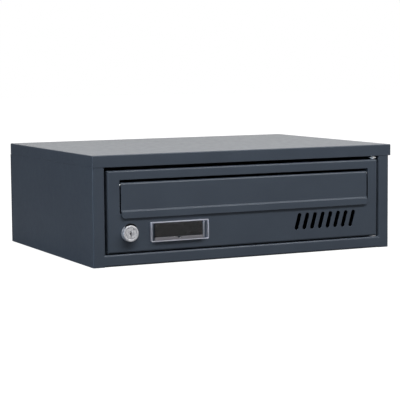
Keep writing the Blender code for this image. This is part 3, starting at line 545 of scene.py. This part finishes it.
def bottom_panel():
    between_stiles = back_high.x - STILE_WIDTH + FOLD
    rail_top = bottom_low.z + RAIL_HEIGHT
    notch = bottom_low.y + RAIL_RETURN + 0.3 * MM
    rear_notch = bottom_high.y - FOLD
    outline = [(bottom_low.y + RAIL_RETURN, rail_top), (bottom_low.y, rail_top), (bottom_low.y, bottom_low.z),
               (notch, bottom_low.z), (rear_notch, bottom_low.z), (bottom_high.y, bottom_low.z),
               (bottom_high.y, bottom_low.z + REAR_FLANGE)]
    bm = bmesh.new()
    folds = strip(bm, [(-between_stiles, y, z) for y, z in outline], (2 * between_stiles, 0, 0))
    corners = [fold for fold in folds if not notch - NEAR < fold.verts[0].co.y < rear_notch + NEAR]
    round_over(bm, corners, FOLD - 0.02 * MM)
    for side in (-1, 1):
        ends = [e for e in bm.edges if all(abs(vert.co.x - side * between_stiles) < NEAR
                                           and abs(vert.co.z - bottom_low.z) < NEAR
                                           and notch - NEAR < vert.co.y < rear_notch + NEAR
                                           for vert in e.verts)]
        pulled(bm, ends, (side * (bottom_high.x - between_stiles), 0, 0))
    face_outward(bm, (0, 0, -1))
    return shown("floor_and_rail_sheet", bm, coat, "casing", ["bottom_panel"],
                 SHEET, 0.05 * MM)


bottom_panel()

# %% [markdown]
# ## Sheets with holes
# A punched sheet is an outline with smaller outlines inside it. `bmesh.ops.triangle_fill` fills the space
# between such loops in one step, however many holes there are. Circles come from `create_circle`, and a long
# hole is a circle pulled apart at its waist, then turned so that it leans over.

# %% Outline helpers and the back panel


def ring(bm, centre, radius, sides=32):
    """A circle of edges that faces the viewer, in the plane of centre."""
    place = Matrix.Translation(centre) @ Matrix.Rotation(math.pi / 2, 4, "X") @ Matrix.Rotation(
        math.pi / sides, 4, "Z")
    verts = bmesh.ops.create_circle(bm, cap_ends=False, segments=sides, radius=radius, matrix=place)["verts"]
    return verts, list({edge for vert in verts for edge in vert.link_edges})


def loop(bm, points):
    """A closed line of edges through points."""
    verts = [bm.verts.new(point) for point in points]
    return [bm.edges.new(pair) for pair in zip(verts, verts[1:] + verts[:1])]


def plate(bm, points, front, back):
    """A flat plate between two depths, with (x, z) points for its outline."""
    edges = loop(bm, [(x, front, z) for x, z in points])
    face = bmesh.ops.contextual_create(bm, geom=edges)["faces"]
    moved(bm, bmesh.ops.extrude_face_region(bm, geom=face, use_keep_orig=True), (0, back - front, 0))
    bmesh.ops.recalc_face_normals(bm, faces=bm.faces)


def long_hole(bm, centre, length, width, lean):
    """A vent's outline: a circle pulled apart at its waist and leaned to the right."""
    verts, edges = ring(bm, centre, width / 2, 20)
    for direction in (-1, 1):
        half = [vert for vert in verts if (vert.co.z - centre[2]) * direction > 0]
        bmesh.ops.translate(bm, vec=(0, 0, direction * (length - width) / 2), verts=half)
    bmesh.ops.rotate(bm, cent=centre, matrix=Matrix.Rotation(lean, 3, "Y"), verts=verts)
    return edges


WALL_HOLE_RADIUS = 2.75 * MM
WALL_HOLE_INSET_X = 45.0 * MM
WALL_HOLE_INSET_Z = 26.0 * MM


def back_panel():
    bm = bmesh.new()
    y = back_high.y
    edges = loop(bm, [(back_low.x, y, back_low.z), (back_high.x, y, back_low.z),
                      (back_high.x, y, back_high.z), (back_low.x, y, back_high.z)])
    for x in (back_low.x + WALL_HOLE_INSET_X, back_high.x - WALL_HOLE_INSET_X):
        for z in (back_low.z + WALL_HOLE_INSET_Z, -back_low.z - WALL_HOLE_INSET_Z):
            edges += ring(bm, (x, y, z), WALL_HOLE_RADIUS)[1]
    bmesh.ops.triangle_fill(bm, use_beauty=True, use_dissolve=False, edges=edges, normal=(0, 1, 0))
    face_outward(bm, (0, 1, 0))
    return shown("rear_sheet", bm, coat, "casing", ["back_panel"], SHEET, CUT_EDGE)


back_panel()

# %% [markdown]
# ## Door
# The door is a shallow pan. Its front is one punched sheet with the letter slot, eight leaning vents and the
# lock's hole. The outer edge is then rolled back through a quarter turn, a few degrees at a time, and drawn
# back into the door's returns. At each end of the slot a small ear is folded back to hold the flap's rod.

# %% Door
door_low, door_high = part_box("door_panel")
flap_low, flap_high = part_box("letter_flap")
lock_low, lock_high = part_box("lock_plug")
DOOR_RETURN = 11.0 * MM
FLAP_GAP_SIDE = 1.6 * MM
FLAP_GAP_TOP = 3.2 * MM
LIP_OVERLAP = 5.5 * MM
ROLLED_EDGE = 2.5 * MM
EAR_HEIGHT = 10.0 * MM
EAR_DEPTH = 7.5 * MM
LOCK_HOLE_RADIUS = 8.3 * MM
VENT_COUNT = 8
VENT_PITCH = 10.13 * MM
VENT_LENGTH = 19.4 * MM
VENT_WIDTH = 5.0 * MM
VENT_LEAN = math.radians(15.8)
VENTS_FROM_RIGHT = 34.3 * MM
VENTS_FROM_BOTTOM = 22.1 * MM
slot_left = flap_low.x - FLAP_GAP_SIDE
slot_right = flap_high.x + FLAP_GAP_SIDE
slot_top = flap_high.z + FLAP_GAP_TOP
slot_bottom = flap_low.z + LIP_OVERLAP
face_y = door_low.y
rod_axis = Vector((0, face_y + ROLLED_EDGE, flap_high.z - ROLLED_EDGE))
lock_axis = Vector(((lock_low.x + lock_high.x) / 2, face_y, (lock_low.z + lock_high.z) / 2))


def door_panel():
    bm = bmesh.new()
    flat_low, flat_high = door_low + Vector((FOLD, 0, FOLD)), door_high - Vector((FOLD, 0, FOLD))
    outer = loop(bm, [(flat_low.x, face_y, flat_low.z), (flat_high.x, face_y, flat_low.z),
                      (flat_high.x, face_y, flat_high.z), (flat_low.x, face_y, flat_high.z)])
    ear_low, ear_high = rod_axis.z - EAR_HEIGHT / 2, rod_axis.z + EAR_HEIGHT / 2
    inner = loop(bm, [(slot_left, face_y, z) for z in (slot_bottom, ear_low, ear_high, slot_top)]
                 + [(slot_right, face_y, z) for z in (slot_top, ear_high, ear_low, slot_bottom)])
    ears = [inner[1], inner[5]]
    vents_right, vents_middle = door_high.x - VENTS_FROM_RIGHT, door_low.z + VENTS_FROM_BOTTOM
    for number in range(VENT_COUNT):
        centre = (vents_right - number * VENT_PITCH, face_y, vents_middle)
        inner += long_hole(bm, centre, VENT_LENGTH, VENT_WIDTH, VENT_LEAN)
    inner += ring(bm, lock_axis, LOCK_HOLE_RADIUS)[1]
    bmesh.ops.triangle_fill(bm, use_beauty=True, use_dissolve=False, edges=outer + inner, normal=(0, -1, 0))
    pulled(bm, ears, (0, EAR_DEPTH, 0))

    middle_x, middle_z = (flat_low.x + flat_high.x) / 2, (flat_low.z + flat_high.z) / 2
    edge = outer
    reached = (0.0, 0.0)
    for step in range(1, FOLD_STEPS + 1):
        angle = math.pi / 2 * step / FOLD_STEPS
        out, back = FOLD * math.sin(angle), FOLD * (1 - math.cos(angle))
        edge = pulled(bm, edge, (0, back - reached[1], 0))
        edge = [e for e in edge if len(e.link_faces) == 1]
        for vert in {vert for e in edge for vert in e.verts}:
            vert.co.x += math.copysign(out - reached[0], vert.co.x - middle_x)
            vert.co.z += math.copysign(out - reached[0], vert.co.z - middle_z)
        reached = (out, back)
    pulled(bm, edge, (0, DOOR_RETURN - FOLD, 0))
    face_outward(bm, (0, -1, 0))
    return shown("door_sheet", bm, coat, "door", ["door_panel"], SHEET, CUT_EDGE)


door_panel()

# %% [markdown]
# ## Letter flap
# The flap starts at its lower lip, which stands just off the door, steps back into the slot with a joggle,
# and rises to a top edge that is rolled round the rod. The step is two fold lines. The roll is a spin of the
# top edge about the rod's axis, a little over three quarters of a turn. The lip's two corners are rounded.

# %% Flap
LIP_STANDOFF = 0.7 * MM
LIP_FOLD = 1.8 * MM
LIP_CORNER = 3.6 * MM
LIP_BEND = 0.7 * MM
ROLL_TURN = math.radians(275)
ROLL_STEPS = 22


def letter_flap():
    bm = bmesh.new()
    lip_y = face_y - LIP_STANDOFF - SHEET
    fold = slot_bottom + LIP_FOLD
    profile = [(lip_y - 0.3 * MM, flap_low.z), (lip_y, fold + 0.2 * MM), (face_y, fold + 1.1 * MM),
               (face_y, rod_axis.z)]
    folds = strip(bm, [(flap_low.x, y, z) for y, z in profile], (flap_high.x - flap_low.x, 0, 0))
    round_over(bm, folds, LIP_BEND, 4)
    top = [e for e in bm.edges if all(abs(vert.co.z - rod_axis.z) < NEAR for vert in e.verts)]
    ends = list({vert for e in top for vert in e.verts})
    bmesh.ops.spin(bm, geom=top + ends, cent=rod_axis, axis=(-1, 0, 0), angle=ROLL_TURN, steps=ROLL_STEPS,
                   use_merge=False, use_duplicate=False)
    corners = [vert for vert in bm.verts if abs(vert.co.z - flap_low.z) < NEAR]
    bmesh.ops.bevel(bm, geom=corners, offset=LIP_CORNER, offset_type="OFFSET", segments=6, profile=0.5,
                    affect="VERTICES", material=-1)
    face_outward(bm, (0, -1, 0))
    return shown("flap_sheet", bm, coat, "flap", ["letter_flap"], SHEET, CUT_EDGE)


letter_flap()

# %% [markdown]
# ## Turned pieces
# The rod, its caps and the hinge collars come off a lathe or a wire former, so each is an outline turned
# about its axis. The outline is a short line of radius and distance, spun through a full turn with its ends
# merged, and laid along the axis that the piece needs.

# %% Turned helpers and the small hardware
LAY = {
    "X": Matrix.Rotation(math.pi / 2, 4, "Y"),
    "Y": Matrix.Rotation(-math.pi / 2, 4, "X"),
    "Z": Matrix.Identity(4),
}
COLLAR_BORE = 1.7 * MM
COLLAR_NECK = 0.55
WASHER_REACH = 0.55 * MM


def turned(bm, outline, axis, centre, sides=48):
    """Turns an outline of (radius, place along the axis) points about an axis through centre."""
    verts = [bm.verts.new((radius, 0, along)) for radius, along in outline]
    edges = [bm.edges.new(pair) for pair in zip(verts, verts[1:])]
    known = set(bm.verts) - set(verts)
    bmesh.ops.spin(bm, geom=verts + edges, cent=(0, 0, 0), axis=(0, 0, 1), angle=2 * math.pi, steps=sides,
                   use_merge=True, use_duplicate=False)
    made = [vert for vert in bm.verts if vert not in known]
    bmesh.ops.remove_doubles(bm, verts=made, dist=1e-7)
    made = [vert for vert in bm.verts if vert not in known]
    place = Vector(centre)
    place["XYZ".index(axis)] = 0.0
    bmesh.ops.transform(bm, matrix=Matrix.Translation(place) @ LAY[axis], verts=made)
    bmesh.ops.recalc_face_normals(bm, faces=bm.faces)
    return made


def flap_rod():
    low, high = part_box("flap_rod")
    radius = (high.z - low.z) / 2
    bm = bmesh.new()
    turned(bm, [(0, low.x), (radius, low.x), (radius, high.x), (0, high.x)], "X", rod_axis, 32)
    shown("flap_wire", bm, zinc, "door", ["flap_rod"], ease=0.3 * MM, ease_steps=3)
    for node in ("rod_cap_left", "rod_cap_right"):
        cap_low, cap_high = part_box(node)
        cap_radius = (cap_high.z - cap_low.z) / 2
        bm = bmesh.new()
        centre = (0, (cap_low.y + cap_high.y) / 2, rod_axis.z)
        turned(bm, [(0, cap_low.x), (cap_radius, cap_low.x), (cap_radius, cap_high.x), (0, cap_high.x)], "X",
               centre, 32)
        shown(f"{node}_disc", bm, zinc, "door", [node], ease=0.25 * MM, ease_steps=3)


def hinge_collar(node):
    """A washer on a narrower neck."""
    low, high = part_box(node)
    centre = (low + high) / 2
    radius = (high.x - low.x) / 2
    neck = COLLAR_NECK * radius
    reach = min(WASHER_REACH, 0.4 * (high.z - low.z))
    washer_low, washer_high = centre.z - reach, centre.z + reach
    bm = bmesh.new()
    turned(bm, [(COLLAR_BORE, low.z), (neck, low.z), (neck, washer_low), (radius, washer_low),
                (radius, washer_high), (neck, washer_high), (neck, high.z), (COLLAR_BORE, high.z),
                (COLLAR_BORE, low.z)], "Z", centre, 40)
    shown(f"{node}_ring", bm, washer_bright, "casing", [node], ease=0.1 * MM)


flap_rod()
hinge_collar("upper_hinge_collar")
hinge_collar("lower_hinge_collar")

# %% [markdown]
# ## Lock
# The lock's barrel is one turned outline: a bore, a front ring with a small chamfer and a plain side down to
# the door. The plug inside it is a disc with a real keyway: the slit is an outline inside the disc's circle,
# and everything is then pushed back, so that the slit is a deep dark hole. The drip lip over the barrel is a
# crescent, drawn as an outline between two arcs that meet at its tips.

# %% Lock barrel, plug and drip lip
plug_radius = (lock_high.x - lock_low.x) / 2
housing_low, housing_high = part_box("lock_housing")
barrel_radius = (housing_high.x - housing_low.x) / 2
drip_low, drip_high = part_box("lock_drip_ring")
KEYWAY_WIDTH = 1.1 * MM
KEYWAY_HEIGHT = 6.4 * MM
KEYWAY_DEPTH = 9.0 * MM
NECK_RADIUS = 8.0 * MM
DRIP_HALF_ANGLE = math.radians(48)


def lock_barrel():
    front = housing_low.y
    bore = plug_radius + 0.2 * MM
    seat = face_y - 0.3 * MM
    bm = bmesh.new()
    turned(bm, [(bore, housing_high.y), (bore, front + 0.4 * MM), (bore + 0.2 * MM, front + 0.2 * MM),
                (bore + 0.6 * MM, front + 0.2 * MM), (bore + 0.9 * MM, front),
                (barrel_radius - 1.0 * MM, front), (barrel_radius - 0.3 * MM, front + 0.3 * MM),
                (barrel_radius, front + 1.2 * MM), (barrel_radius, seat), (NECK_RADIUS, seat),
                (NECK_RADIUS, housing_high.y), (bore, housing_high.y)],
           "Y", lock_axis, 72)
    return shown("lock_barrel", bm, nickel, "door", ["lock_housing"], ease=0.08 * MM)


def lock_plug():
    front = lock_low.y
    bm = bmesh.new()
    circle = ring(bm, (lock_axis.x, front, lock_axis.z), plug_radius, 64)[1]
    left, right = lock_axis.x - KEYWAY_WIDTH / 2, lock_axis.x + KEYWAY_WIDTH / 2
    ward = lock_axis.x - 1.5 * KEYWAY_WIDTH
    half = KEYWAY_HEIGHT / 2
    slit = loop(bm, [(x, front, lock_axis.z + z) for x, z in (
        (left, -half), (right, -half), (right, half), (left, half), (left, KEYWAY_HEIGHT / 8),
        (ward, KEYWAY_HEIGHT / 8), (ward, -KEYWAY_HEIGHT / 6), (left, -KEYWAY_HEIGHT / 6))])
    bmesh.ops.triangle_fill(bm, use_beauty=True, use_dissolve=False, edges=circle + slit, normal=(0, -1, 0))
    depth = lock_high.y - front
    pulled(bm, circle, (0, depth, 0))
    pocket = pulled(bm, slit, (0, KEYWAY_DEPTH, 0))
    bmesh.ops.edgeloop_fill(bm, edges=[e for e in pocket if len(e.link_faces) == 1])
    bmesh.ops.edgeloop_fill(bm, edges=[e for e in bm.edges if len(e.link_faces) == 1])
    bmesh.ops.recalc_face_normals(bm, faces=bm.faces)
    return shown("lock_plug_face", bm, nickel, "lock_core", ["lock_plug"], ease=0.12 * MM)


def drip_lip():
    inner = barrel_radius + 0.05 * MM
    height = drip_high.z - lock_axis.z - inner
    arc = [DRIP_HALF_ANGLE * step / 12 for step in range(-12, 13)]
    outer = [(angle, inner + height * math.cos(math.pi / 2 * angle / DRIP_HALF_ANGLE) ** 0.5)
             for angle in arc[1:-1]]
    points = [(math.sin(angle) * radius, math.cos(angle) * radius)
              for angle, radius in [(angle, inner) for angle in arc] + outer[::-1]]
    bm = bmesh.new()
    plate(bm, [(lock_axis.x + x, lock_axis.z + z) for x, z in points], drip_low.y, drip_high.y)
    return shown("lock_drip_lip", bm, matt_black, "door", ["lock_drip_ring"], ease=0.1 * MM)


lock_barrel()
lock_plug()
drip_lip()

# %% [markdown]
# ## Name plate
# The holder is a clear moulding, and each of its parts plays a different part in the light. The walls and the
# ledge under the card are thick, so they gather light and look milky; that glow is painted into their grey
# finishes. The pane is thin and almost unseen.
# Light passes through the walls, so they cast no shadow on the door. The ledge has a finger notch in its
# middle, so it is one outline with a half circle in its upper edge.

# %% Name plate
holder_low, holder_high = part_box("name_plate_holder")
card_low, card_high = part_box("name_card")
HOLDER_WALL = 1.1 * MM
PANE_RECESS = 0.7 * MM
PANE = 1.0 * MM
NOTCH_RADIUS = 2.4 * MM
holder_back = face_y - 0.3 * MM


def holder_walls():
    bm = bmesh.new()
    corners = [(holder_low.x, holder_low.z), (holder_high.x, holder_low.z), (holder_high.x, holder_high.z),
               (holder_low.x, holder_high.z)]
    outer = loop(bm, [(x, holder_back, z) for x, z in corners])
    pulled(bm, outer, (0, holder_low.y - holder_back, 0))
    upright = [e for e in bm.edges if abs(e.verts[0].co.y - e.verts[1].co.y) > MM]
    round_over(bm, upright, 1.2 * MM, 5)
    bmesh.ops.recalc_face_normals(bm, faces=bm.faces)
    if max(bm.faces, key=lambda face: face.calc_center_median().z).normal.z < 0:
        bmesh.ops.reverse_faces(bm, faces=bm.faces)
    walls = shown("name_plate_walls", bm, glow_painted_edge, "door", ["name_plate_holder"],
                  HOLDER_WALL, 0.25 * MM, 3)
    walls.visible_shadow = False
    return walls


def card_rib():
    """The rib at the card's right end bends over into the holder's upper corner."""
    right, top = card_high.x + 0.7 * MM, holder_high.z - HOLDER_WALL
    front = holder_low.y + 0.1 * MM
    bend = [math.radians(angle) for angle in range(0, 61, 15)]
    line = [(right, holder_low.z + HOLDER_WALL)] + [
        (right + 2.6 * MM * (1 - math.cos(angle)), top - 3.4 * MM + 3.0 * MM * math.sin(angle))
        for angle in bend]
    bm = bmesh.new()
    strip(bm, [(x, front, z) for x, z in line], (0, holder_back - front, 0))
    bmesh.ops.recalc_face_normals(bm, faces=bm.faces)
    return shown("name_plate_rib", bm, glow_painted_edge, "door", [], 0.8 * MM, 0.2 * MM)


def ledge():
    middle_x = (card_low.x + card_high.x) / 2
    low, high = holder_low.z + HOLDER_WALL, card_low.z - 0.3 * MM
    left, right = card_low.x - 0.4 * MM, card_high.x + 0.4 * MM
    notch = [(middle_x + NOTCH_RADIUS * math.cos(math.radians(angle)),
              high - 0.8 * NOTCH_RADIUS * math.sin(math.radians(angle))) for angle in range(0, 181, 15)]
    front = holder_low.y + 0.5 * MM
    bm = bmesh.new()
    outline = [(left, low), (right, low), (right, high)] + notch + [(left, high)]
    plate(bm, outline, front, holder_back)
    return shown("name_plate_ledge", bm, glow_painted_ledge, "door", [], ease=0.35 * MM,
                 ease_steps=3)


def pane_and_card():
    bm = bmesh.new()
    pane_y = holder_low.y + PANE_RECESS
    block(bm, (card_low.x - 0.2 * MM, pane_y, card_low.z - 0.2 * MM),
          (card_high.x + 0.2 * MM, pane_y + PANE, holder_high.z - HOLDER_WALL - 0.1 * MM))
    shown("name_plate_pane", bm, pane_clear, "door", [], ease=0.1 * MM)
    bm = bmesh.new()
    block(bm, card_low, card_high)
    shown("name_card_sheet", bm, card_black, "door", ["name_card"], ease=0.1 * MM)


holder_walls()
card_rib()
ledge()
pane_and_card()

# %% [markdown]
# ## Finishes on the fixed parts
# The remaining parts keep the shapes that the frame gives them. Each only needs the right finish in its
# material slot, chosen by what it is on the real box.

# %% Finishes on the fixed parts
KEPT = {
    coat: ["front_cross_rail", "rear_cross_rail"],
    zinc: ["upper_hinge_pin", "lower_hinge_pin", "lock_nut", "lock_cam", "cam_washer", "cam_screw",
           "name_plate_clip_left", "name_plate_clip_right"]
          + [f"cover_{kind}_{number}" for kind in ("stud", "nut") for number in range(1, 5)],
}
for finish, names in KEPT.items():
    for name in names:
        nodes[name].data.materials.clear()
        nodes[name].data.materials.append(finish)
print("kept parts:", sum(len(names) for names in KEPT.values()))
